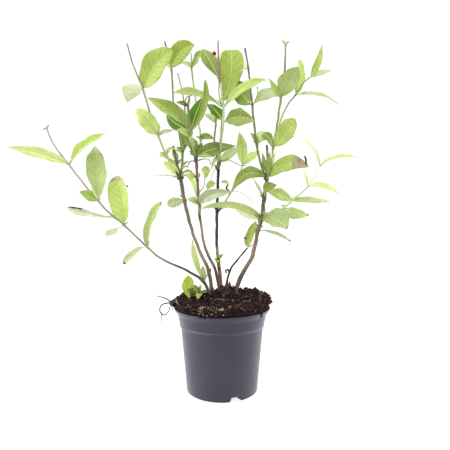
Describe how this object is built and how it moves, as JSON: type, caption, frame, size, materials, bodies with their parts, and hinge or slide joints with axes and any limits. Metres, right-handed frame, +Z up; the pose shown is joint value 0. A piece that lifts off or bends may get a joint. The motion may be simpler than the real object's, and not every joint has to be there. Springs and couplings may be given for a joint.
{
  "type": "potted weigela",
  "caption": "Young weigela shrub with slender woody canes and pointed green leaves, growing in a round tapered plastic nursery pot of dark compost.",
  "frame": {"origin": "centre of the pot's flat underside, on the surface that it stands on", "axes": "+Z up through the pot's axis, +X to the plant's right as seen from the front, +Y to the back"},
  "size_m": [0.4512, 0.2082, 0.4861],
  "materials": {
    "pot": "satin moulded plastic, dark slate grey with a slight violet cast, lightly scuffed",
    "compost": "matt, very dark brown fibrous crumbs with a few bark chips and pale grit",
    "bark": "matt grey-brown bark with long cracks, leaf scars and swollen joints",
    "green_shoot": "smooth satin, soft green young shoot",
    "red_shoot": "satin red-brown young shoot",
    "leaf": "satin yellow-green leaf with a pale midrib, sunk side veins and fine teeth"
  },
  "bodies": {
    "root": {"cane_left": "bark", "cane_right": "bark", "cane_centre": "bark", "cane_inner": "bark", "cane_low_left": "bark", "shoot_left_outer": "bark", "shoot_left_upright": "bark", "shoot_left_back": "bark", "shoot_inner_green": "green_shoot", "shoot_inner_tall": "bark", "shoot_centre_green": "green_shoot", "shoot_centre_red": "red_shoot", "shoot_centre_short": "bark", "shoot_centre_right": "bark", "shoot_right_tall": "bark", "shoot_right_outer": "bark", "shoot_right_fork": "bark", "shoot_right_low": "bark", "shoot_right_foot": "bark", "leaves_left_1": "leaf", "leaves_left_2": "leaf", "leaves_right_1": "leaf", "leaves_right_2": "leaf", "leaves_right_3": "leaf", "leaves_centre_1": "leaf", "leaves_centre_2": "leaf", "leaves_inner_1": "leaf", "leaves_inner_2": "leaf", "leaves_low_left_1": "leaf", "leaves_low_left_2": "leaf", "leaves_low_left_3": "leaf", "leaves_low_left_4": "leaf", "leaves_low_left_5": "leaf", "leaves_low_left_6": "leaf", "leaves_left_outer_1": "leaf", "leaves_left_outer_2": "leaf", "leaves_left_upright_1": "leaf", "leaves_left_upright_2": "leaf", "leaves_inner_green_1": "leaf", "leaves_inner_tall_1": "leaf", "leaves_inner_tall_2": "leaf", "leaves_centre_green_1": "leaf", "leaves_centre_green_2": "leaf", "leaves_centre_red_1": "leaf", "leaves_centre_red_2": "leaf", "leaves_centre_short_1": "leaf", "leaves_centre_right_1": "leaf", "leaves_right_tall_1": "leaf", "leaves_right_tall_2": "leaf", "leaves_right_outer_1": "leaf", "leaves_right_outer_2": "leaf", "leaves_right_fork_1": "leaf", "leaves_right_fork_2": "leaf", "leaves_right_low_1": "leaf", "leaves_right_low_2": "leaf", "leaves_right_low_3": "leaf", "leaves_right_low_4": "leaf", "leaves_right_foot_1": "leaf", "pot": "pot", "compost": "compost"}
  },
  "joints": []
}
